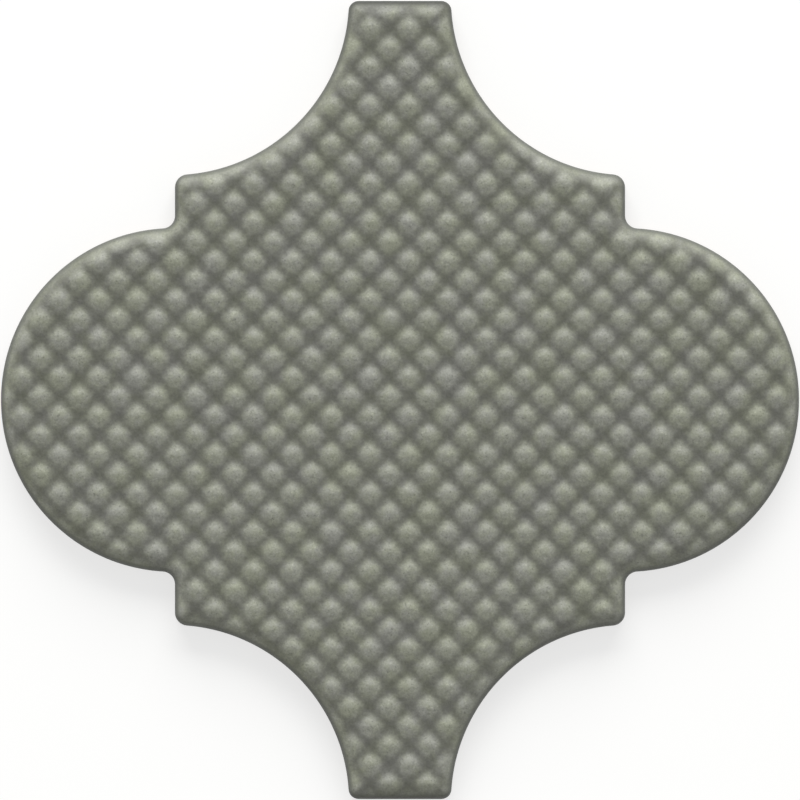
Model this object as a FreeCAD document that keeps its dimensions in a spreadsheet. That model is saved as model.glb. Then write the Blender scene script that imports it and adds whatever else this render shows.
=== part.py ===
import FreeCAD, Part
import os
import re

import Sketcher
from FreeCAD import Placement, Rotation, Vector

# An arabesque wall tile, pressed and fired in one piece. It lies on its back: the face is up,
# +Y is the upper neck, and the origin is at the middle of the back.
# Its outline is a block with a round lobe on either side, and each corner of the block is
# scooped out to take the lobe of the next tile, with an even joint between the two.

# Driving sizes in millimetres
SIZES = {
    # Outline. Together these make a tile 150 mm wide and 150 mm high.
    "lobe_radius": 32.3,
    "shoulder_length": 10.0,
    "neck_width": 19.2,
    "joint_width": 0.8,
    "tile_thickness": 8.0,
    # Rounded corners and eased rim. The outer corners are given as they are on the face,
    # inside the rim, so the edge below them is rounder by the rim's width.
    "inner_corner_radius": 2.4,
    "shoulder_face_radius": 0.45,
    "neck_face_radius": 0.1,
    "rim_width": 2.0,
    "rim_ease": 0.8,
    "back_arris": 0.4,
    # Studs, which stand in diagonal rows. The pitch is from stud to stud across the tile.
    # The crown is the top of a stud, and the skirt is its shallow foot, where glaze pools.
    "stud_pitch": 7.28,
    "stud_offset_across": -2.0,
    "stud_offset_up": 0.85,
    "stud_height": 0.65,
    "stud_crown_width": 1.3,
    "stud_skirt_width": 0.6,
    "stud_skirt_height": 0.1,
    # Key grooves of the back, inside a plain border
    "back_border": 8.0,
    "key_depth": 0.7,
    "key_pitch": 12.0,
    "key_rib_width": 5.0,
}

# Distances that several features share, worked out from the driving sizes
COVE_RADIUS = "(lobe_radius + joint_width)"
LOBE_X = f"(neck_width / 2 + {COVE_RADIUS})"
COVE_Y = f"(lobe_radius + shoulder_length + {COVE_RADIUS})"
BLOCK_X = f"({LOBE_X} - joint_width / 2)"
BLOCK_Y = f"({COVE_Y} - joint_width / 2)"
HALF_WIDTH = f"({LOBE_X} + lobe_radius)"
ROW_PITCH = "(stud_pitch / sqrt(2))"
ROW_REACH = f"(({HALF_WIDTH} + {BLOCK_Y}) / 2)"

doc = FreeCAD.newDocument("ArabesqueTile")
sheet = doc.addObject("Spreadsheet::Sheet", "Sizes")
for row, (alias, value) in enumerate(SIZES.items(), start=1):
    sheet.set(f"A{row}", alias)
    sheet.set(f"B{row}", str(value))
    sheet.setAlias(f"B{row}", alias)
doc.recompute()


def bind(item, prop, text):
    """Bind a property to an expression in which each driving size is read from the sheet."""
    read = re.sub(r"\w+", lambda word: f"Sizes.{word[0]}" if word[0] in SIZES else word[0], text)
    item.setExpression(prop, read)


def new_sketch(body, name, role, turn=0.0):
    """An empty sketch on one of the body's origin planes, turned about the plane's Y axis."""
    plane = next(feature for feature in body.Origin.OriginFeatures if feature.Role == role)
    sketch = body.newObject("Sketcher::SketchObject", name)
    sketch.AttachmentSupport = (plane, "")
    sketch.MapMode = "FlatFace"
    sketch.AttachmentOffset = Placement(Vector(), Rotation(Vector(0, 1, 0), turn))
    return sketch


def place_point(sketch, geometry, position, x, y):
    """Hold a point of the sketch at two distances from the sketch's origin."""
    for kind, text in (("DistanceX", x), ("DistanceY", y)):
        number = sketch.addConstraint(Sketcher.Constraint(kind, -1, 1, geometry, position, 1.0))
        bind(sketch, f"Constraints[{number}]", text)


def circles_sketch(body, name, centres, radius):
    """Circles of one radius, one for each centre."""
    sketch = new_sketch(body, name, "XY_Plane")
    for x, y in centres:
        circle = sketch.addGeometry(Part.Circle(Vector(), Vector(0, 0, 1), 1.0), False)
        place_point(sketch, circle, 3, x, y)
        number = sketch.addConstraint(Sketcher.Constraint("Radius", circle, 1.0))
        bind(sketch, f"Constraints[{number}]", radius)
    return sketch


def polygon_sketch(body, name, role, corners, turn=0.0):
    """A closed outline of straight lines through the given corners, taken in order."""
    sketch = new_sketch(body, name, role, turn)
    step = Rotation(Vector(0, 0, 1), 360.0 / len(corners))
    start = Vector(1, 0, 0)
    lines = []
    for _ in corners:
        end = step.multVec(start)
        lines.append(sketch.addGeometry(Part.LineSegment(start, end), False))
        start = end
    for n, (x, y) in enumerate(corners):
        sketch.addConstraint(Sketcher.Constraint("Coincident", lines[n - 1], 2, lines[n], 1))
        place_point(sketch, lines[n], 1, x, y)
    return sketch


def press(body, kind, name, profile, length, side="One side", reverse=False):
    """A pad or a pocket of a sketch."""
    item = body.newObject(f"PartDesign::{kind}", name)
    item.Profile = profile
    item.SideType = side
    item.Reversed = reverse
    bind(item, "Length", length)
    return item


def row_of(body, name, original, axis, pitch, count):
    """Copies of a feature in a row along an axis of its sketch. It becomes the body's tip."""
    pattern = body.newObject("PartDesign::LinearPattern", name)
    pattern.Originals = [original]
    pattern.Direction = (original.Profile[0], [axis])
    pattern.Mode = "Spacing"
    pattern.Refine = False
    bind(pattern, "Offset", pitch)
    bind(pattern, "Occurrences", count)
    body.Tip = pattern


def press_outline(body, inset, length):
    """The tile's outline, drawn inset from its real edge, from the back up to a length."""
    x, y = f"({BLOCK_X} - {inset})", f"({BLOCK_Y} - {inset})"
    corners = [(f"-{x}", f"-{y}"), (x, f"-{y}"), (x, y), (f"-{x}", y)]
    block = polygon_sketch(body, f"{body.Name}Block", "XY_Plane", corners)
    press(body, "Pad", f"{body.Name}BlockPad", block, length)
    lobe_centres = [(LOBE_X, "0"), (f"-{LOBE_X}", "0")]
    lobes = circles_sketch(body, f"{body.Name}Lobes", lobe_centres, f"lobe_radius - {inset}")
    press(body, "Pad", f"{body.Name}LobesPad", lobes, length)
    cove_centres = [(f"{a}{LOBE_X}", f"{b}{COVE_Y}") for a in ("", "-") for b in ("", "-")]
    coves = circles_sketch(body, f"{body.Name}Coves", cove_centres, f"{COVE_RADIUS} + {inset}")
    press(body, "Pocket", f"{body.Name}CovesPocket", coves, length, reverse=True)
    doc.recompute()


def ease(body, kind, name, prop, size, test):
    """Fillet or chamfer the edges of the body's tip that pass a test."""
    base = body.Tip
    edges = [f"Edge{n}" for n, edge in enumerate(base.Shape.Edges, start=1) if test(edge)]
    item = body.newObject(f"PartDesign::{kind}", name)
    item.Base = (base, edges)
    bind(item, prop, size)
    doc.recompute()


def corner_between(low, high):
    """A test for upright corner edges that stand between two distances from the X axis."""

    def test(edge):
        box = edge.BoundBox
        upright = box.XLength < 0.001 and box.YLength < 0.001
        return upright and low < abs(box.Center.y) < high

    return test


def level_at(height):
    """A test for edges that lie level at a height."""

    def test(edge):
        box = edge.BoundBox
        return abs(box.ZMin - height) < 0.001 and abs(box.ZMax - height) < 0.001

    return test


def round_corners(body):
    """Round the upright corners: below the shoulders, at the shoulders and at the necks."""
    mid_shoulder = SIZES["lobe_radius"] + SIZES["shoulder_length"] / 2
    tip = 2 * mid_shoulder + SIZES["joint_width"]
    beside_neck = (mid_shoulder + tip) / 2
    inner = corner_between(0.0, mid_shoulder)
    ease(body, "Fillet", "InnerCorners", "Radius", "inner_corner_radius", inner)
    shoulder = corner_between(mid_shoulder, beside_neck)
    radius = "rim_width + shoulder_face_radius"
    ease(body, "Fillet", "ShoulderCorners", "Radius", radius, shoulder)
    neck = corner_between(beside_neck, tip)
    ease(body, "Fillet", "NeckCorners", "Radius", "rim_width + neck_face_radius", neck)


def ease_rim(body):
    """Two bevels ease the face into the sides, and a small arris breaks the back's edge."""
    top = SIZES["tile_thickness"]
    ease(body, "Chamfer", "Rim", "Size", "rim_width", level_at(top))
    ease(body, "Chamfer", "RimEase", "Size", "rim_ease", level_at(top - SIZES["rim_width"]))
    ease(body, "Chamfer", "BackArris", "Size", "back_arris", level_at(0.0))


def press_stud_rows(body, name, turn, offset):
    """Grooves in one diagonal direction. What stands between them is a row of studs."""
    middle = f"({offset} - (ceil({ROW_REACH} / {ROW_PITCH}) - 1 / 2) * {ROW_PITCH})"
    top = "tile_thickness"
    foot = f"({top} - stud_height)"
    skirt = f"({foot} + stud_skirt_height)"
    slope = f"({ROW_PITCH} - stud_crown_width) / 2"
    left = [(f"{middle} - {slope}", top), (f"{middle} - stud_skirt_width", skirt)]
    right = [(f"{middle} + stud_skirt_width", skirt), (f"{middle} + {slope}", top)]
    corners = left + [(middle, foot)] + right
    section = polygon_sketch(body, f"{name}Section", "XZ_Plane", corners, turn)
    groove = press(body, "Pocket", name, section, f"2 * {ROW_REACH}", side="Symmetric")
    groove.Refine = False
    count = f"2 * ceil({ROW_REACH} / {ROW_PITCH})"
    row_of(body, f"{name}Row", groove, "H_Axis", ROW_PITCH, count)


def press_keys(body):
    """Key grooves in the back, pressed by a body of the inset outline with slots for the ribs."""
    tool = doc.addObject("PartDesign::Body", "KeyTool")
    press_outline(tool, "back_border", "key_depth")
    half_count = f"ceil({BLOCK_Y} / key_pitch)"
    low = f"(-{half_count} * key_pitch - key_rib_width / 2)"
    high = f"({low} + key_rib_width)"
    left, right = f"-{HALF_WIDTH}", HALF_WIDTH
    corners = [(left, low), (right, low), (right, high), (left, high)]
    section = polygon_sketch(tool, "RibSection", "XY_Plane", corners)
    slot = press(tool, "Pocket", "RibSlot", section, "key_depth", reverse=True)
    row_of(tool, "RibSlots", slot, "V_Axis", "key_pitch", f"2 * {half_count} + 1")
    keys = body.newObject("PartDesign::Boolean", "Keys")
    keys.Type = "Cut"
    keys.setObjects([tool])
    body.Tip = keys
    doc.recompute()


# The whole tile
tile = doc.addObject("PartDesign::Body", "Tile")
tile.Label = "tile"
press_outline(tile, "0", "tile_thickness")
round_corners(tile)
ease_rim(tile)
press_keys(tile)
press_stud_rows(tile, "RisingGroove", 45.0, "(stud_offset_across + stud_offset_up) / sqrt(2)")
press_stud_rows(tile, "FallingGroove", -45.0, "(stud_offset_across - stud_offset_up) / sqrt(2)")
doc.recompute()

for item in doc.Objects:
    if "Invalid" in item.State or "Error" in item.State:
        raise RuntimeError(f"{item.Label} did not build: {item.State}")
if tile.Shape.isNull() or not tile.Shape.isValid():
    raise RuntimeError("the tile's solid is not valid")

os.makedirs("parts", exist_ok=True)
tile.Shape.exportStep(f"parts/{tile.Label}.step")
print(f"{tile.Label}: {tile.Shape.Volume:.0f} mm3, {len(tile.Shape.Faces)} faces")
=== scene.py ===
from math import atan2, ceil, pi, radians, sqrt, tan

import bmesh
import bpy
import numpy as np
from bpy.props import FloatProperty, FloatVectorProperty, IntProperty, PointerProperty
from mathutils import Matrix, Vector, noise
from mathutils.bvhtree import BVHTree


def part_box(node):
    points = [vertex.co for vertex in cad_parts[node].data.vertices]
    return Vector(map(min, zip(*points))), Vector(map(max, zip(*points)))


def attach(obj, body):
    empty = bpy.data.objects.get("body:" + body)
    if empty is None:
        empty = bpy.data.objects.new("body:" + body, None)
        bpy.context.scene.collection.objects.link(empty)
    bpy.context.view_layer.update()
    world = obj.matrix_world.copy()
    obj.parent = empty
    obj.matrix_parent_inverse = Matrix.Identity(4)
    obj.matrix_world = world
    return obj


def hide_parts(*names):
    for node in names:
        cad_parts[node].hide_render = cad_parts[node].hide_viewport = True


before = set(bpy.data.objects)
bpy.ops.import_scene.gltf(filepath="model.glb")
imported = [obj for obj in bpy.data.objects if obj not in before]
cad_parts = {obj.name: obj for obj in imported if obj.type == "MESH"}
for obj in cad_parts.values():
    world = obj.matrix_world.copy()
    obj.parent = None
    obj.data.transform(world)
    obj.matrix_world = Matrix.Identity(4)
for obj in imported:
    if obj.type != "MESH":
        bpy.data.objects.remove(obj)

bl_info = {
    "name": "Arabesque tile",
    "version": (1, 0, 0),
    "blender": (4, 5, 0),
    "location": "3D View > Sidebar > Arabesque tile",
    "description": "A glazed arabesque wall tile with a studded face, and a stage to look at it on",
    "category": "Add Mesh",
}

NODE = "tile"
PIECE = "glazed_tile"
CAD_LOW, CAD_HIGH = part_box(NODE)

# Modelling aids. Lengths here and below are in metres.
TOUCH = 1e-6  # heights this near to each other count as one
MERGE_GAP = 1e-5
FEWEST_FACETS = 4  # so that a small corner is still round
LEVEL = 0.9  # how upright a face's normal is when the face counts as level
ARRIS_SLANT = 0.9  # width of the back's arris, as a share of its height
KEY_CORNER = 0.0005
RIB_SPAN = 0.2  # longer than the tile is wide, so that the ribs run right across
RIM_RINGS = 10
RIM_REACH = 0.8  # how far in the rings step, as a share of the smallest corner's radius
FACE_REACH = 0.066  # half the side of the diagonal grid that covers the face
GRID_GAP = 0.7  # from the rings to the grid, in steps of the grid
SMOOTH_ANGLE = radians(38)
CLAY_TILT = -0.2  # a face that looks down more than this is bare clay

# Form of a stud, as shares of its radius, of its height or of the pitch, and one exponent
STUD_SQUARENESS = 0.035
STUD_NARROWING = 0.057  # of the two shoulders above the stud's middle
STUD_PEAK = 0.97  # the exponent, below 1 so that the top is a little sharper than a cosine's
STUD_STRAY = 0.01
STUD_LOWEST = 0.86
STUD_SPREAD = 0.06  # how much higher than the lowest stud the highest is
VALLEY_WEB = 0.08  # height of a gentle wave under the studs, lowest where two valleys cross
VALLEY_MELT = 0.06
CHANCE_STEPS = (127.1, 311.7, 43758.5453)  # these scatter the studs' differences evenly

# Unevenness of the pressed clay, as waves per metre and height. The studs' tops are kept
# a little below the CAD box to make room for it.
UNEVENNESS = ((260, 0.00004), (700, 0.00003))
HEADROOM = 0.00007

# How much the glaze follows the studs at each distance in from the outline
RIM_DISTANCES = (0.0, 0.0005, 0.001, 0.0015, 0.002)
RIM_SHARES = (0.0, 0.25, 0.5, 0.8, 1.0)
RIM_SHADE = 0.55  # painted shade at the outline, as a share of the way to the darker colour
RIM_SHADE_RUN = 0.008  # the distance in from there over which that painted shade falls by 1
SIDE_SHADE = 0.6  # painted shade down the sides, on the same scale
WANDER = 0.3  # how far the border of the darker, pooled and painted-shade colour strays, on the same scale

# Where each neck ends, how far in painted shade darkens the glaze there, and how much of its colour
# is left
NECK_ENDS = ((CAD_HIGH[1], 0.0026, 0.42), (CAD_LOW[1], -0.002, 0.68))
GLAZE_LINE = (0.00235, 0.0026)  # from bare to covered, before the sway below is taken off
GLAZE_LINE_SWAY = 0.0016
BARE_ROUGHNESS = 0.9

# Inputs and outputs of the mix node, whose names its data types share
MIX_SHARE = 0
MIX_A, MIX_B, MIXED = 6, 7, 2
VALUE_A, VALUE_B = 2, 3

# Stage
FLOOR_SIZE = 6.0
FLOOR_LEVEL = -0.00002  # just clear of the tile's back
SOFTBOX_PLACE = (0.0, 2.82, 1.76)
SOFTBOX_SIZE = (3.2, 2.4)
WHITE = (1.0, 1.0, 1.0, 1.0)
SENSOR_WIDTH = 36.0  # in millimetres, as the lens is
CLIP_START, CLIP_END = 0.05, 20.0
WIDEST_LEVEL = 0.0055  # about where the upright sides end and the tile starts to narrow


def linear(text):
    """Linear colour, with alpha, of an sRGB hex value."""
    steps = [int(text[n : n + 2], 16) / 255 for n in (1, 3, 5)]
    return [s / 12.92 if s <= 0.04045 else ((s + 0.055) / 1.055) ** 2.4 for s in steps] + [1.0]


def length(name, description, default):
    """A length property, in metres."""
    return FloatProperty(
        name=name,
        description=description,
        default=default,
        min=0.0,
        precision=5,
        subtype="DISTANCE",
        unit="LENGTH",
    )


def colour(name, description, default):
    """A colour property, from an sRGB hex value."""
    return FloatVectorProperty(
        name=name,
        description=description,
        default=linear(default),
        size=4,
        min=0.0,
        max=1.0,
        subtype="COLOR",
    )


class TileShape(bpy.types.PropertyGroup):
    """Sizes of the tile. The first four make its outline, 150 mm wide and 150 mm high."""

    lobe_radius: length("Lobe radius", "Radius of the round lobe on either side", 0.0323)
    shoulder_length: length("Shoulder", "Straight run between a lobe and a scooped corner", 0.010)
    neck_width: length("Neck width", "Width of the straight end of each neck", 0.0192)
    joint_width: length("Joint", "Gap that is left between two tiles on the wall", 0.0008)
    thickness: length("Thickness", "From the back to the studs' tops", CAD_HIGH[2])
    neck_corner: length("Neck corner", "Radius of the corners of the necks", 0.0019)
    shoulder_corner: length("Shoulder corner", "Radius of the outer shoulder corners", 0.00245)
    inner_corner: length("Inner corner", "Radius where a shoulder meets a lobe", 0.0024)
    edge_step: length("Edge step", "Length of one facet along the outline", 0.00045)
    rim_width: length(
        "Rim width", "From the outline to the middle of the rim's soft crest", 0.00222
    )
    melt: length("Melt", "Height over which the rim turns softly into the studs", 0.0017)
    rim_edge: length("Rim edge", "Rounding between the rim and the side", 0.0008)
    rim_slope: FloatProperty(
        name="Rim slope",
        description="How steeply the rim falls away",
        default=radians(46),
        min=radians(20),
        max=radians(70),
        subtype="ANGLE",
        unit="ROTATION",
    )
    arris: length("Back arris", "Bevel round the back's edge", 0.0004)
    stud_pitch: length("Stud pitch", "From stud to stud across the tile", 0.00728)
    stud_height: length("Stud height", "From the valleys to the studs' tops", 0.0005)
    stud_radius: length("Stud radius", "From a stud's top to its foot", 0.00208)
    studs_across: FloatProperty(
        name="Studs across",
        description="How far the stud pattern is shifted across the tile",
        default=-0.002,
        subtype="DISTANCE",
        unit="LENGTH",
    )
    studs_up: FloatProperty(
        name="Studs up",
        description="How far the stud pattern is shifted up the tile",
        default=0.00085,
        subtype="DISTANCE",
        unit="LENGTH",
    )
    stud_steps: IntProperty(
        name="Stud steps",
        description="Facets from one stud to the next in its diagonal row",
        default=12,
        min=4,
        max=14,
    )
    back_border: length("Back border", "Plain border round the back's key grooves", 0.008)
    key_depth: length("Key depth", "Depth of the key grooves", 0.0007)
    key_pitch: length("Key pitch", "From one key rib to the next", 0.012)
    key_rib: length("Key rib", "Width of the ribs between the key grooves", 0.005)


class TileFinish(bpy.types.PropertyGroup):
    """Colours and gloss of the glaze and the clay."""

    # Crest and pool: the glaze is pale over the studs and darker between them, partly from pooling
    # and partly from painted shade in the valleys
    crest: colour("Crest", "Glaze where it is thin, over the tops of the studs", "#a7a99f")
    pool: colour("Pool", "Glaze where it has pooled, between the studs", "#6b6c65")
    # Rim: paler glaze over the rim band, partly thinner glaze and partly a painted highlight
    rim: colour("Rim", "Glaze where it breaks thin over the rim", "#c3c5b7")
    # Edge: painted shade down the steep outer edge
    edge: colour("Edge", "Glaze down the steep outer edge", "#6b6d66")
    olive: colour("Olive cloud", "The greener of the glaze's two soft clouds", "#8a8e6c")
    grey: colour("Grey cloud", "The greyer of the glaze's two soft clouds", "#8e8c8f")
    clay: colour("Clay", "Bare fired clay of the back", "#b59f86")
    clay_dark: colour("Dark clay", "Darker patches of the bare clay", "#9c8268")
    grog: colour("Grog", "Specks of crushed fired clay in the bare clay", "#6f5a47")
    roughness: FloatProperty(
        name="Glaze roughness",
        description="Satin at about 0.4, matt at 0.7",
        default=0.5,
        min=0.0,
        max=1.0,
        subtype="FACTOR",
    )


class TileStage(bpy.types.PropertyGroup):
    """Floor, light and camera."""

    softbox: FloatProperty(
        name="Softbox",
        description="Power of the large soft lamp beyond the upper neck",
        default=134.0,
        min=0.0,
        subtype="POWER",
        unit="POWER",
    )
    surround: FloatProperty(
        name="Surround",
        description="Strength of the even light from all round",
        default=0.4,
        min=0.0,
        max=2.0,
    )
    lens: FloatProperty(
        name="Lens",
        description="Focal length of the camera, which looks straight down",
        default=600.0,
        min=50.0,
        subtype="DISTANCE_CAMERA",
        unit="CAMERA",
    )
    glow: FloatProperty(
        name="Floor glow",
        description="Even white added to the floor where it is seen, so that lit paper is white",
        default=0.68,
        min=0.0,
        max=1.0,
    )
    frame_width: length("Frame width", "Width of the view at the tile's widest level", 0.15032)
    floor: colour("Floor", "Paper of the floor, before its glow is added", "#a0a09e")
    bounce: colour("Bounce", "Light that the floor sends back to the tile", "#6b6b6a")


# Modelling


def start_fresh():
    """Leave edit mode and deselect every object."""
    if bpy.context.mode != "OBJECT":
        bpy.ops.object.mode_set(mode="OBJECT")
    bpy.ops.object.select_all(action="DESELECT")


def edit():
    """Enter edit mode on the active object."""
    bpy.ops.object.mode_set(mode="EDIT")


def pick_faces(test):
    """Select the faces of the object in edit mode that pass a test."""
    bpy.ops.mesh.select_mode(type="FACE")
    bpy.ops.mesh.select_all(action="DESELECT")
    data = bpy.context.edit_object.data
    mesh = bmesh.from_edit_mesh(data)
    mesh.normal_update()
    for face in mesh.faces:
        face.select_set(test(face))
    bmesh.update_edit_mesh(data)


def use_modifier(piece, kind, **settings):
    """Add a modifier to the active piece and apply it."""
    modifier = piece.modifiers.new(kind.title(), kind)
    for key, value in settings.items():
        setattr(modifier, key, value)
    bpy.ops.object.modifier_apply(modifier=modifier.name)


def run_to(step, start, end):
    """Extrude the chosen point along a straight run in even steps."""
    run = Vector(end) - Vector(start)
    count = max(1, round(run.length / step))
    move = {"value": (run.x / count, run.y / count, 0.0)}
    for _ in range(count):
        bpy.ops.mesh.extrude_region_move(TRANSFORM_OT_translate=move)


def sweep(step, centre, radius, start, end):
    """Spin the chosen point about a centre, from one angle to another."""
    count = max(FEWEST_FACETS, round(radius * abs(end - start) / step))
    bpy.ops.mesh.spin(steps=count, angle=start - end, center=(*centre, 0.0), axis=(0, 0, 1))


def trace_outline(name, shape, inset, corners):
    """The tile's outline as a flat face, drawn inset from its real edge. A point is drawn along
    the upper right quarter, from the neck to the lobe, and the quarter is mirrored twice."""
    neck, shoulder, inner = corners
    lobe = shape.lobe_radius - inset
    cove = shape.lobe_radius + shape.joint_width + inset
    lobe_x = shape.neck_width / 2 + shape.lobe_radius + shape.joint_width
    cove_y = 2 * shape.lobe_radius + shape.shoulder_length + shape.joint_width
    side = lobe_x - shape.joint_width / 2 - inset
    top = cove_y - shape.joint_width / 2 - inset
    cove_x = lobe_x  # the coves' middles stand straight above and below the lobes'

    # Middles of the three rounded corners, each touching the two runs it joins
    neck_y = top - neck
    neck_x = cove_x - sqrt((cove + neck) ** 2 - (cove_y - neck_y) ** 2)
    shoulder_x = side - shoulder
    shoulder_y = cove_y - sqrt((cove + shoulder) ** 2 - (cove_x - shoulder_x) ** 2)
    inner_x = side + inner
    inner_y = sqrt((lobe + inner) ** 2 - (lobe_x - inner_x) ** 2)
    to_neck = atan2(cove_y - neck_y, cove_x - neck_x)
    to_shoulder = atan2(cove_y - shoulder_y, cove_x - shoulder_x)
    to_inner = atan2(inner_y, inner_x - lobe_x)

    start_fresh()
    bpy.ops.mesh.primitive_plane_add(size=shape.edge_step, location=(0.0, 0.0, 0.0))
    piece = bpy.context.object
    piece.name = piece.data.name = name
    edit()
    bpy.ops.mesh.select_mode(type="VERT")
    bpy.ops.mesh.merge(type="CENTER")
    bpy.ops.transform.translate(value=(0.0, top, 0.0))
    step = shape.edge_step
    run_to(step, (0.0, top), (neck_x, top))
    sweep(step, (neck_x, neck_y), neck, pi / 2, to_neck)
    sweep(step, (cove_x, cove_y), cove, pi + to_neck, pi + to_shoulder)
    sweep(step, (shoulder_x, shoulder_y), shoulder, to_shoulder, 0.0)
    run_to(step, (side, shoulder_y), (side, inner_y))
    sweep(step, (inner_x, inner_y), inner, pi, pi + to_inner)
    sweep(step, (lobe_x, 0.0), lobe, to_inner, 0.0)
    bpy.ops.object.mode_set(mode="OBJECT")
    use_modifier(piece, "MIRROR", use_axis=(True, True, False), merge_threshold=MERGE_GAP)
    edit()
    bpy.ops.mesh.select_all(action="SELECT")
    bpy.ops.mesh.edge_face_add()
    bpy.ops.mesh.normals_make_consistent(inside=False)
    bpy.ops.object.mode_set(mode="OBJECT")
    if piece.data.polygons[0].normal.z < 0:
        piece.data.flip_normals()
    return piece


def press_blank(shape):
    """The tile's body with a flat face: sides down to the arris, and a closed back."""
    corners = (shape.neck_corner, shape.shoulder_corner, shape.inner_corner)
    blank = trace_outline(PIECE, shape, 0.0, corners)
    side_top = side_level(shape)
    edit()
    bpy.ops.mesh.select_all(action="SELECT")
    bpy.ops.transform.translate(value=(0.0, 0.0, shape.arris))
    bpy.ops.mesh.extrude_region_move(
        TRANSFORM_OT_translate={"value": (0.0, 0.0, side_top - shape.arris)}
    )
    bpy.ops.mesh.select_all(action="SELECT")
    bpy.ops.mesh.normals_make_consistent(inside=False)
    pick_faces(lambda face: face.normal.z < -LEVEL)
    bpy.ops.mesh.inset(thickness=ARRIS_SLANT * shape.arris)
    bpy.ops.transform.translate(value=(0.0, 0.0, -shape.arris))
    bpy.ops.object.mode_set(mode="OBJECT")
    return blank


def cut_keys(blank, shape):
    """Key grooves in the back, cut by a shallow block that has slots for the ribs."""
    block = trace_outline("key_block", shape, shape.back_border, 3 * (KEY_CORNER,))
    edit()
    bpy.ops.mesh.select_all(action="SELECT")
    bpy.ops.transform.translate(value=(0.0, 0.0, -shape.key_depth))
    bpy.ops.mesh.extrude_region_move(
        TRANSFORM_OT_translate={"value": (0.0, 0.0, 2 * shape.key_depth)}
    )
    bpy.ops.mesh.select_all(action="SELECT")
    bpy.ops.mesh.normals_make_consistent(inside=False)

    start_fresh()
    count = ceil(CAD_HIGH[1] / shape.key_pitch)
    bpy.ops.mesh.primitive_cube_add(size=1.0, location=(0.0, -count * shape.key_pitch, 0.0))
    rib = bpy.context.object
    rib.scale = (RIB_SPAN, shape.key_rib, 4 * shape.key_depth)
    bpy.ops.object.transform_apply(location=True, rotation=True, scale=True)
    use_modifier(
        rib,
        "ARRAY",
        count=2 * count + 1,
        use_relative_offset=False,
        use_constant_offset=True,
        constant_offset_displace=(0.0, shape.key_pitch, 0.0),
    )
    bpy.context.view_layer.objects.active = block
    use_modifier(block, "BOOLEAN", operation="DIFFERENCE", solver="EXACT", object=rib)
    bpy.context.view_layer.objects.active = blank
    use_modifier(blank, "BOOLEAN", operation="DIFFERENCE", solver="EXACT", object=block)
    for cutter in (rib, block):
        bpy.data.objects.remove(cutter)


def rim_level(shape, distance):
    """Height of the rim at a distance in from the outline. It rises from the side round a small
    edge, and up an even slope that reaches the face at the rim's width."""
    out = np.clip(1 - distance / shape.rim_edge, 0, 1)
    edge = shape.rim_edge * (1 - np.sqrt(1 - out**2))
    return shape.thickness - (shape.rim_width - distance) * tan(shape.rim_slope) - edge


def side_level(shape):
    """Height of the top of the upright sides."""
    return float(rim_level(shape, 0.0))


def round_rim(blank, shape):
    """Rings that step in from the outline and up the rounded rim."""
    side_top = side_level(shape)
    start_fresh()
    blank.select_set(True)
    bpy.context.view_layer.objects.active = blank
    edit()
    middle = side_top / 2
    pick_faces(lambda face: face.normal.z > LEVEL and face.calc_center_median().z > middle)
    reach = RIM_REACH * shape.neck_corner
    before, level = 0.0, side_top
    for ring in range(1, RIM_RINGS + 1):
        distance = reach * (ring / RIM_RINGS) ** 2
        height = float(rim_level(shape, distance))
        bpy.ops.mesh.inset(thickness=distance - before, use_even_offset=True)
        bpy.ops.transform.translate(value=(0.0, 0.0, height - level))
        before, level = distance, height
    bpy.ops.mesh.delete(type="ONLY_FACE")
    bpy.ops.object.mode_set(mode="OBJECT")
    return reach, level


def walls_of(blank, shape):
    """The upright sides, to measure how far in a point lies."""
    data = blank.data
    points = [vertex.co.copy() for vertex in data.vertices]
    sides = [
        tuple(face.vertices)
        for face in data.polygons
        if abs(face.normal.z) < 1 - LEVEL and face.center.z > 2 * shape.arris
    ]
    return BVHTree.FromPolygons(points, sides)


def depth_inside(walls, shape, point):
    """Distance in from the outline, below zero outside it."""
    level = (side_level(shape) + shape.arris) / 2
    flat = Vector((point.x, point.y, level))
    near, normal, _, distance = walls.find_nearest(flat)
    return distance if (near - flat).dot(normal) > 0 else -distance


def weave_face(blank, walls, shape, reach, level):
    """Fill the rim with a fine diagonal grid whose lines run through the studs' tops."""
    pitch = shape.stud_pitch / sqrt(2)
    step = pitch / shape.stud_steps
    cells = 2 * ceil(FACE_REACH / pitch)
    start_fresh()
    bpy.ops.mesh.primitive_grid_add(
        x_subdivisions=cells * shape.stud_steps,
        y_subdivisions=cells * shape.stud_steps,
        size=cells * pitch,
        location=(shape.studs_across, shape.studs_up, level),
        rotation=(0.0, 0.0, radians(45)),
    )
    bpy.ops.object.transform_apply(location=True, rotation=True, scale=True)
    grid = bpy.context.object
    edit()
    bpy.ops.mesh.select_mode(type="VERT")
    bpy.ops.mesh.select_all(action="DESELECT")
    mesh = bmesh.from_edit_mesh(grid.data)
    for vertex in mesh.verts:
        vertex.select_set(depth_inside(walls, shape, vertex.co) < reach + GRID_GAP * step)
    mesh.select_flush(True)
    bmesh.update_edit_mesh(grid.data)
    bpy.ops.mesh.delete(type="VERT")
    mesh = bmesh.from_edit_mesh(grid.data)
    loose = [vertex for vertex in mesh.verts if not vertex.link_faces]
    bmesh.ops.delete(mesh, geom=loose, context="VERTS")
    bmesh.update_edit_mesh(grid.data)
    bpy.ops.object.mode_set(mode="OBJECT")

    blank.select_set(True)
    bpy.context.view_layer.objects.active = blank
    bpy.ops.object.join()
    edit()
    bpy.ops.mesh.select_mode(type="EDGE")
    bpy.ops.mesh.select_all(action="DESELECT")
    bpy.ops.mesh.select_non_manifold(use_wire=False, use_multi_face=False)
    bpy.ops.mesh.fill(use_beauty=True)
    bpy.ops.mesh.select_mode(type="VERT")
    bpy.ops.mesh.select_all(action="SELECT")
    bpy.ops.mesh.normals_make_consistent(inside=False)
    bpy.ops.object.mode_set(mode="OBJECT")


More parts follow.
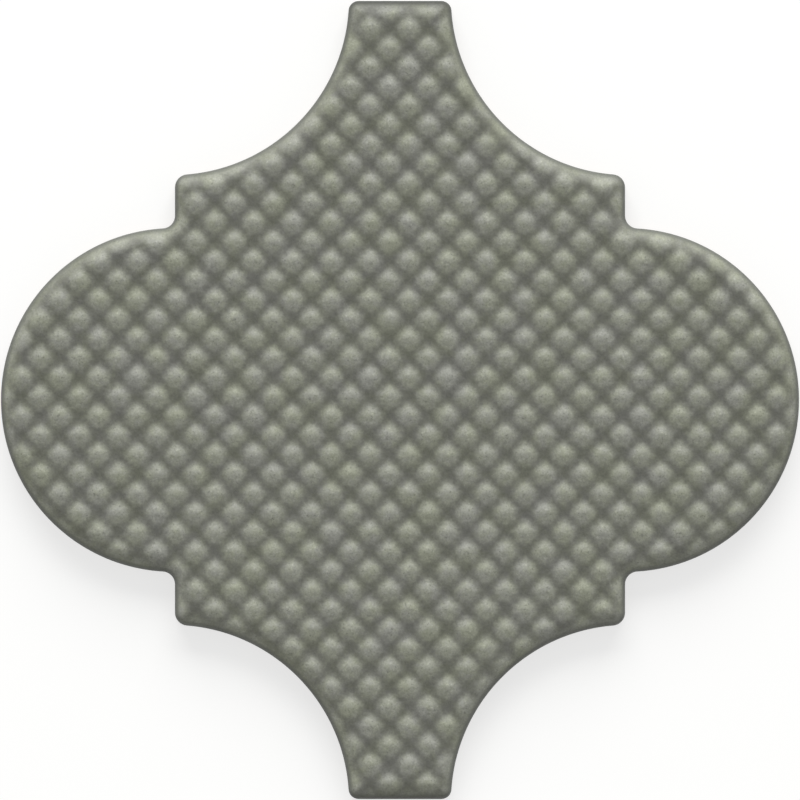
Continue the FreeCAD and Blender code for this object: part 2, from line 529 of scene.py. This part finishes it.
def studs_at(shape, across, up):
    """Height of the studs, 0 to 1, and how far each point is from a stud's top. A stud is a
    little square, with its corners across and up, and narrower above its middle, like an egg.
    The tops differ slightly in height and place. In the valleys the distance turns softly from
    one stud's to the next's."""
    x, y = across - shape.studs_across, up - shape.studs_up
    pitch = shape.stud_pitch / sqrt(2)
    row, column = (x + y) / sqrt(2) / pitch, (y - x) / sqrt(2) / pitch
    melt = VALLEY_MELT * shape.stud_pitch
    height = np.zeros_like(x)
    total = np.zeros_like(x)
    for beside in (-1, 0, 1):
        for beyond in (-1, 0, 1):
            i, j = np.round(row) + beside, np.round(column) + beyond
            chance = np.sin(i * CHANCE_STEPS[0] + j * CHANCE_STEPS[1]) * CHANCE_STEPS[2]
            share = chance - np.floor(chance)
            u = row - i - STUD_STRAY * np.cos(2 * pi * share)
            v = column - j - STUD_STRAY * np.sin(2 * pi * share)
            turn = np.arctan2(u - v, u + v)
            shoulder = np.clip(np.cos(turn), 0, 1) * np.sin(2 * turn) ** 2
            narrowed = STUD_SQUARENESS * (1 - np.cos(4 * turn)) + STUD_NARROWING * shoulder
            away = pitch * np.hypot(u, v) * (1 + narrowed)
            slope = np.clip(away / shape.stud_radius, 0, 1) ** STUD_PEAK
            bell = (1 + np.cos(pi * slope)) / 2
            height += bell * (STUD_LOWEST + STUD_SPREAD * share)
            total += np.exp(-away / melt)
    away = -melt * np.log(total)
    wave = 2 * pi / shape.stud_pitch
    web = (1 + np.cos(wave * x) * np.cos(wave * y)) / 2
    return height + VALLEY_WEB * web, away


def press_studs(blank, walls, shape):
    """Press the studs into the face. Each point's height is worked out from the stud pattern,
    because the studs melt into the rounding of the rim all along the curved outline."""
    data = blank.data
    side_top = side_level(shape)
    points = np.empty(len(data.vertices) * 3)
    data.vertices.foreach_get("co", points)
    points = points.reshape(-1, 3)
    face = points[:, 2] > side_top + TOUCH
    inside = np.zeros(len(points))
    inside[face] = [depth_inside(walls, shape, Vector(point)) for point in points[face]]
    height, away = studs_at(shape, points[:, 0], points[:, 1])
    unevenness = np.array(
        [
            sum(noise.noise(Vector(point) * waves) * size for waves, size in UNEVENNESS)
            for point in points[face]
        ]
    )
    studded = shape.thickness - HEADROOM - shape.stud_height * (1 - height[face]) + unevenness
    rim = rim_level(shape, inside[face])
    soft = np.clip(1 - np.abs(studded - rim) / shape.melt, 0, 1)
    level = np.minimum(studded, rim) - soft**2 * shape.melt / 4
    points[face, 2] = np.minimum(level, shape.thickness)
    data.vertices.foreach_set("co", points.ravel())

    # The glaze follows the studs up to the rim, its valleys darker from pooling and painted shade;
    # down the rim's slope painted shade darkens it towards the outline
    share = np.interp(inside, RIM_DISTANCES, RIM_SHARES)
    between = away / (shape.stud_pitch / 2)
    # Painted shade on the rim's slope, darkest at the outline
    down = np.clip(RIM_SHADE - inside / RIM_SHADE_RUN, 0.0, 1.0)
    values = np.where(face, between * share + down * (1 - share), SIDE_SHADE)
    pooled_and_shaded = data.attributes.new("glaze_pooled_and_shaded", "FLOAT", "POINT")
    pooled_and_shaded.data.foreach_set("value", values)
    edge = data.attributes.new("edge_distance", "FLOAT", "POINT")
    edge.data.foreach_set("value", inside)
    data.update()


# Materials


def add(tree, kind, settings=None, links=None):
    """Add a node, set its own settings and its inputs, and link its inputs."""
    node = tree.nodes.new(kind)
    for key, value in (settings or {}).items():
        if isinstance(key, str) and hasattr(node, key):
            setattr(node, key, value)
        else:
            node.inputs[key].default_value = value
    for key, output in (links or {}).items():
        tree.links.new(output, node.inputs[key])
    return node


def new_material(name):
    """A new material with an empty node tree."""
    material = bpy.data.materials.new(name)
    material.use_nodes = True
    material.node_tree.nodes.clear()
    return material


def clay_colour(tree, place, finish):
    """Bare clay: soft patches 9 mm across and grog specks of a third of a millimetre."""
    patches = add(
        tree,
        "ShaderNodeTexNoise",
        {"Scale": 1 / 0.009, "Detail": 4.0},
        {"Vector": place},
    )
    base = add(
        tree,
        "ShaderNodeMix",
        {"data_type": "RGBA", MIX_A: finish.clay, MIX_B: finish.clay_dark},
        {MIX_SHARE: patches.outputs["Fac"]},
    )
    grog = add(tree, "ShaderNodeTexVoronoi", {"Scale": 1 / 0.0009}, {"Vector": place})
    spots = add(
        tree,
        "ShaderNodeMapRange",
        {"From Min": 0.12, "From Max": 0.3, "To Min": 0.45, "To Max": 0.0},
        {"Value": grog.outputs["Distance"]},
    )
    return add(
        tree,
        "ShaderNodeMix",
        {"data_type": "RGBA", MIX_B: finish.grog},
        {MIX_SHARE: spots.outputs[0], MIX_A: base.outputs[MIXED]},
    ).outputs[MIXED]


def bisque_material(finish):
    """Bisque clay, pressed and fired without glaze. It is matt and sandy, warm and pale, with
    darker patches and fine dark specks of grog."""
    material = new_material("bisque_fired_clay")
    tree = material.node_tree
    place = add(tree, "ShaderNodeTexCoord").outputs["Object"]
    colour = clay_colour(tree, place, finish)
    sand = add(tree, "ShaderNodeTexNoise", {"Scale": 1 / 0.0005, "Detail": 3.0}, {"Vector": place})
    bump = add(
        tree,
        "ShaderNodeBump",
        {"Strength": 0.6, "Distance": 0.00012},
        {"Height": sand.outputs["Fac"]},
    )
    shader = add(
        tree,
        "ShaderNodeBsdfPrincipled",
        {"Roughness": BARE_ROUGHNESS, "IOR": 1.5},
        {"Base Color": colour, "Normal": bump.outputs["Normal"]},
    )
    add(tree, "ShaderNodeOutputMaterial", links={"Surface": shader.outputs["BSDF"]})
    return material


def glaze_material(finish):
    """Satin glaze, dipped over pressed clay. It breaks pale over the studs' tops and is darker
    between the studs, partly from pooling and partly from painted shade; a painted highlight adds
    to the pale thinning over the rim, and painted shade darkens the steep outer edge and the neck
    ends. It clouds softly from grey to olive, and has a fine grain in its broad soft shine. It ends
    in an uneven line low on the sides, over bare clay."""
    material = new_material("satin_glaze_on_clay")
    tree = material.node_tree
    place = add(tree, "ShaderNodeTexCoord").outputs["Object"]
    pooled_and_shaded = add(tree, "ShaderNodeAttribute", {"attribute_name": "glaze_pooled_and_shaded"}).outputs["Fac"]
    edge = add(tree, "ShaderNodeAttribute", {"attribute_name": "edge_distance"}).outputs["Fac"]

    # Pale where thin over the studs, darker between them from pooling and from painted shade in the
    # valleys, with a border that wanders a little
    wander = add(
        tree,
        "ShaderNodeTexNoise",
        {"Scale": 1 / 0.0009, "Detail": 2.0},
        {"Vector": place},
    )
    wandering = add(
        tree,
        "ShaderNodeMath",
        {"operation": "MULTIPLY_ADD", 1: WANDER},
        {0: wander.outputs["Fac"], 2: pooled_and_shaded},
    )
    pool_and_shade_share = add(
        tree,
        "ShaderNodeMapRange",
        {"interpolation_type": "SMOOTHSTEP", "From Min": 0.4, "From Max": 1.0},
        {"Value": wandering.outputs[0]},
    )
    body = add(
        tree,
        "ShaderNodeMix",
        {"data_type": "RGBA", MIX_A: finish.crest, MIX_B: finish.pool},
        {MIX_SHARE: pool_and_shade_share.outputs[0]},
    )
    # Lighter over the rim, up to 3.4 mm in from the outline: thinner glaze there, with a painted
    # highlight added
    rim_thin_and_sheen = add(
        tree,
        "ShaderNodeMapRange",
        {"interpolation_type": "SMOOTHSTEP", "From Min": 0.001, "From Max": 0.0034,
         "To Min": 0.2, "To Max": 0.0},
        {"Value": edge},
    )
    body = add(
        tree,
        "ShaderNodeMix",
        {"data_type": "RGBA", MIX_B: finish.rim},
        {MIX_SHARE: rim_thin_and_sheen.outputs[0], MIX_A: body.outputs[MIXED]},
    )
    # Clouds from about 8 mm down to half a millimetre, between the two tints
    clouds = add(
        tree,
        "ShaderNodeTexNoise",
        {"Scale": 1 / 0.008, "Detail": 4.0, "Roughness": 0.8},
        {"Vector": place},
    )
    cloud_share = add(
        tree,
        "ShaderNodeMapRange",
        {"From Min": 0.38, "From Max": 0.62},
        {"Value": clouds.outputs["Fac"]},
    )
    tint = add(
        tree,
        "ShaderNodeMix",
        {"data_type": "RGBA", MIX_A: finish.grey, MIX_B: finish.olive},
        {MIX_SHARE: cloud_share.outputs[0]},
    )
    tinted = add(
        tree,
        "ShaderNodeMix",
        {"data_type": "RGBA", "blend_type": "OVERLAY", MIX_SHARE: 0.4},
        {MIX_A: body.outputs[MIXED], MIX_B: tint.outputs[MIXED]},
    )
    # Fine grain, drawn at 0.4 mm, about twice as coarse as it is, so that it shows
    grain = add(
        tree,
        "ShaderNodeTexNoise",
        {"Scale": 1 / 0.0004, "Detail": 2.0},
        {"Vector": place},
    )
    grain_share = add(
        tree,
        "ShaderNodeMapRange",
        {"From Min": 0.3, "From Max": 0.7, "To Min": 0.89, "To Max": 1.11},
        {"Value": grain.outputs["Fac"]},
    )
    # Sparse specks, light and dark, where the glaze is thin
    speck = add(
        tree,
        "ShaderNodeTexNoise",
        {"Scale": 1 / 0.00045, "Detail": 1.0, "Distortion": 0.4},
        {"Vector": place},
    )
    light_specks = add(
        tree,
        "ShaderNodeMapRange",
        {"From Min": 0.6, "From Max": 0.76, "To Min": 0.0, "To Max": 0.3},
        {"Value": speck.outputs["Fac"]},
    )
    dark_specks = add(
        tree,
        "ShaderNodeMapRange",
        {"From Min": 0.4, "From Max": 0.24, "To Min": 0.0, "To Max": -0.3},
        {"Value": speck.outputs["Fac"]},
    )
    specks = add(
        tree,
        "ShaderNodeMath",
        {"operation": "ADD"},
        {0: light_specks.outputs[0], 1: dark_specks.outputs[0]},
    )
    where = add(
        tree,
        "ShaderNodeMapRange",
        {"To Min": 1.0, "To Max": 0.35},
        {"Value": pool_and_shade_share.outputs[0]},
    )
    fineness = add(
        tree,
        "ShaderNodeMath",
        {"operation": "MULTIPLY_ADD"},
        {0: specks.outputs[0], 1: where.outputs[0], 2: grain_share.outputs[0]},
    )
    grained = add(
        tree,
        "ShaderNodeVectorMath",
        {"operation": "SCALE"},
        {0: tinted.outputs[MIXED], "Scale": fineness.outputs[0]},
    )
    # Painted shade down the steep outer edge, darker over its last 1.1 mm
    steep = add(
        tree,
        "ShaderNodeMapRange",
        {"interpolation_type": "SMOOTHSTEP", "From Min": 0.0, "From Max": 0.0011,
         "To Min": 1.0, "To Max": 0.0},
        {"Value": edge},
    )
    glazed = add(
        tree,
        "ShaderNodeMix",
        {"data_type": "RGBA", MIX_B: finish.edge},
        {MIX_SHARE: steep.outputs[0], MIX_A: grained.outputs[0]},
    ).outputs[MIXED]
    # Painted shade along the straight end of each neck, which darkens the glaze there
    axes = add(tree, "ShaderNodeSeparateXYZ", links={"Vector": place}).outputs
    for end, run, share in NECK_ENDS:
        neck_shade = add(
            tree,
            "ShaderNodeMapRange",
            {"interpolation_type": "SMOOTHSTEP", "From Min": end - run, "From Max": end,
             "To Min": 1.0, "To Max": share},
            {"Value": axes["Y"]},
        )
        glazed = add(
            tree,
            "ShaderNodeVectorMath",
            {"operation": "SCALE"},
            {0: glazed, "Scale": neck_shade.outputs[0]},
        ).outputs[0]
    # The glaze line, about 1.6 mm above the back and uneven by half a millimetre
    sway = add(tree, "ShaderNodeTexNoise", {"Scale": 1 / 0.006, "Detail": 2.0}, {"Vector": place})
    line = add(
        tree,
        "ShaderNodeMath",
        {"operation": "MULTIPLY_ADD", 1: GLAZE_LINE_SWAY},
        {0: sway.outputs["Fac"], 2: axes["Z"]},
    )
    covered = add(
        tree,
        "ShaderNodeMapRange",
        {"From Min": GLAZE_LINE[0], "From Max": GLAZE_LINE[1]},
        {"Value": line.outputs[0]},
    )
    colour = add(
        tree,
        "ShaderNodeMix",
        {"data_type": "RGBA"},
        {MIX_SHARE: covered.outputs[0], MIX_A: clay_colour(tree, place, finish), MIX_B: glazed},
    )
    shine = add(
        tree,
        "ShaderNodeTexNoise",
        {"Scale": 1 / 0.0011, "Detail": 3.0},
        {"Vector": place},
    )
    gloss = add(
        tree,
        "ShaderNodeMapRange",
        {"From Min": 0.3, "From Max": 0.7, "To Min": finish.roughness - 0.06,
         "To Max": finish.roughness + 0.06},
        {"Value": shine.outputs["Fac"]},
    )
    roughness = add(
        tree,
        "ShaderNodeMix",
        {"data_type": "FLOAT", VALUE_A: BARE_ROUGHNESS},
        {MIX_SHARE: covered.outputs[0], VALUE_B: gloss.outputs[0]},
    )
    bump = add(
        tree,
        "ShaderNodeBump",
        {"Strength": 0.35, "Distance": 0.00006},
        {"Height": grain.outputs["Fac"]},
    )
    ripple = add(
        tree,
        "ShaderNodeBump",
        {"Strength": 0.75, "Distance": 0.0001},
        {"Height": shine.outputs["Fac"], "Normal": bump.outputs["Normal"]},
    )
    shader = add(
        tree,
        "ShaderNodeBsdfPrincipled",
        {"IOR": 1.42},
        {
            "Base Color": colour.outputs[MIXED],
            "Roughness": roughness.outputs[0],
            "Normal": ripple.outputs["Normal"],
        },
    )
    add(tree, "ShaderNodeOutputMaterial", links={"Surface": shader.outputs["BSDF"]})
    return material


def floor_material(stage):
    """Seamless studio paper, matt and pale. Where it is seen, a glow lifts lit paper to white and
    leaves a soft shadow, and it sends little light back to the tile."""
    material = new_material("white_paper_floor")
    tree = material.node_tree
    paper = add(tree, "ShaderNodeBsdfDiffuse", {"Color": stage.floor})
    quiet = add(tree, "ShaderNodeBsdfDiffuse", {"Color": stage.bounce})
    glow = add(tree, "ShaderNodeEmission", {"Color": WHITE, "Strength": stage.glow})
    lift = add(tree, "ShaderNodeAddShader", links={0: paper.outputs[0], 1: glow.outputs[0]})
    path = add(tree, "ShaderNodeLightPath")
    seen_ray = path.outputs["Is Camera Ray"]
    for kind in ("Is Glossy Ray", "Is Transmission Ray"):
        seen_ray = add(
            tree,
            "ShaderNodeMath",
            {"operation": "MAXIMUM"},
            {0: seen_ray, 1: path.outputs[kind]},
        ).outputs[0]
    seen = add(
        tree,
        "ShaderNodeMixShader",
        links={0: seen_ray, 1: quiet.outputs[0], 2: lift.outputs[0]},
    )
    add(tree, "ShaderNodeOutputMaterial", links={"Surface": seen.outputs[0]})
    return material


# Operators


class TILE_OT_press_tile(bpy.types.Operator):
    """Model the glazed tile, and dress it in glaze and bare clay"""

    bl_idname = "tile.press_tile"
    bl_label = "Press tile"

    def execute(self, context):
        shape, finish = context.scene.tile_shape, context.scene.tile_finish
        blank = press_blank(shape)
        cut_keys(blank, shape)
        walls = walls_of(blank, shape)
        reach, level = round_rim(blank, shape)
        weave_face(blank, walls, shape, reach, level)
        press_studs(blank, walls, shape)
        data = blank.data
        check = bmesh.new()
        check.from_mesh(data)
        open_edges = sum(not edge.is_manifold for edge in check.edges)
        check.free()
        if open_edges:
            raise RuntimeError(f"the tile has {open_edges} open edges")

        start_fresh()
        blank.select_set(True)
        context.view_layer.objects.active = blank
        bpy.ops.object.shade_smooth_by_angle(angle=SMOOTH_ANGLE)
        data.materials.clear()
        data.materials.append(glaze_material(finish))
        data.materials.append(bisque_material(finish))
        for face in data.polygons:
            bare = face.normal.z < CLAY_TILT or face.center.z < shape.key_depth
            face.material_index = int(bare)
        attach(blank, "root")
        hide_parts(NODE)
        return {"FINISHED"}


class TILE_OT_set_stage(bpy.types.Operator):
    """Set the floor, the soft light and the camera that looks straight down"""

    bl_idname = "tile.set_stage"
    bl_label = "Set stage"

    def execute(self, context):
        stage = context.scene.tile_stage
        start_fresh()
        bpy.ops.mesh.primitive_plane_add(size=FLOOR_SIZE, location=(0.0, 0.0, FLOOR_LEVEL))
        floor = context.object
        floor.name = "floor"
        floor.data.materials.append(floor_material(stage))

        bpy.ops.object.light_add(type="AREA", location=SOFTBOX_PLACE)
        lamp = context.object
        lamp.name = "softbox"
        lamp.data.shape = "RECTANGLE"
        lamp.data.size, lamp.data.size_y = SOFTBOX_SIZE
        lamp.data.energy = stage.softbox
        lamp.rotation_euler = (-lamp.location).to_track_quat("-Z", "Y").to_euler()

        world = bpy.data.worlds.new("studio_surround")
        context.scene.world = world
        world.use_nodes = True
        sky = world.node_tree.nodes["Background"]
        sky.inputs["Color"].default_value = WHITE
        sky.inputs["Strength"].default_value = stage.surround

        height = WIDEST_LEVEL + stage.frame_width * stage.lens / SENSOR_WIDTH
        bpy.ops.object.camera_add(location=(0.0, 0.0, height), rotation=(0.0, 0.0, 0.0))
        camera = context.object
        camera.name = "camera"
        camera.data.sensor_width = SENSOR_WIDTH
        camera.data.lens = stage.lens
        camera.data.clip_start = CLIP_START
        camera.data.clip_end = CLIP_END
        camera.data.dof.use_dof = False
        context.scene.camera = camera
        context.scene.view_settings.view_transform = "Standard"
        return {"FINISHED"}


class TILE_PT_panel(bpy.types.Panel):
    """Sizes, colours and light of the tile"""

    bl_label = "Arabesque tile"
    bl_idname = "TILE_PT_panel"
    bl_space_type = "VIEW_3D"
    bl_region_type = "UI"
    bl_category = "Arabesque tile"

    def draw(self, context):
        groups = (
            (context.scene.tile_shape, TILE_OT_press_tile),
            (context.scene.tile_finish, None),
            (context.scene.tile_stage, TILE_OT_set_stage),
        )
        for group, operator in groups:
            box = self.layout.box()
            for name in group.__annotations__:
                box.prop(group, name)
            if operator:
                box.operator(operator.bl_idname)


CLASSES = (
    TileShape,
    TileFinish,
    TileStage,
    TILE_OT_press_tile,
    TILE_OT_set_stage,
    TILE_PT_panel,
)


def register():
    for item in CLASSES:
        bpy.utils.register_class(item)
    bpy.types.Scene.tile_shape = PointerProperty(type=TileShape)
    bpy.types.Scene.tile_finish = PointerProperty(type=TileFinish)
    bpy.types.Scene.tile_stage = PointerProperty(type=TileStage)


def unregister():
    del bpy.types.Scene.tile_stage
    del bpy.types.Scene.tile_finish
    del bpy.types.Scene.tile_shape
    for item in reversed(CLASSES):
        bpy.utils.unregister_class(item)


def main():
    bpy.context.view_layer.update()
    register()
    bpy.ops.tile.press_tile()
    bpy.ops.tile.set_stage()
    bpy.context.view_layer.update()


if __name__ == "__main__":
    main()
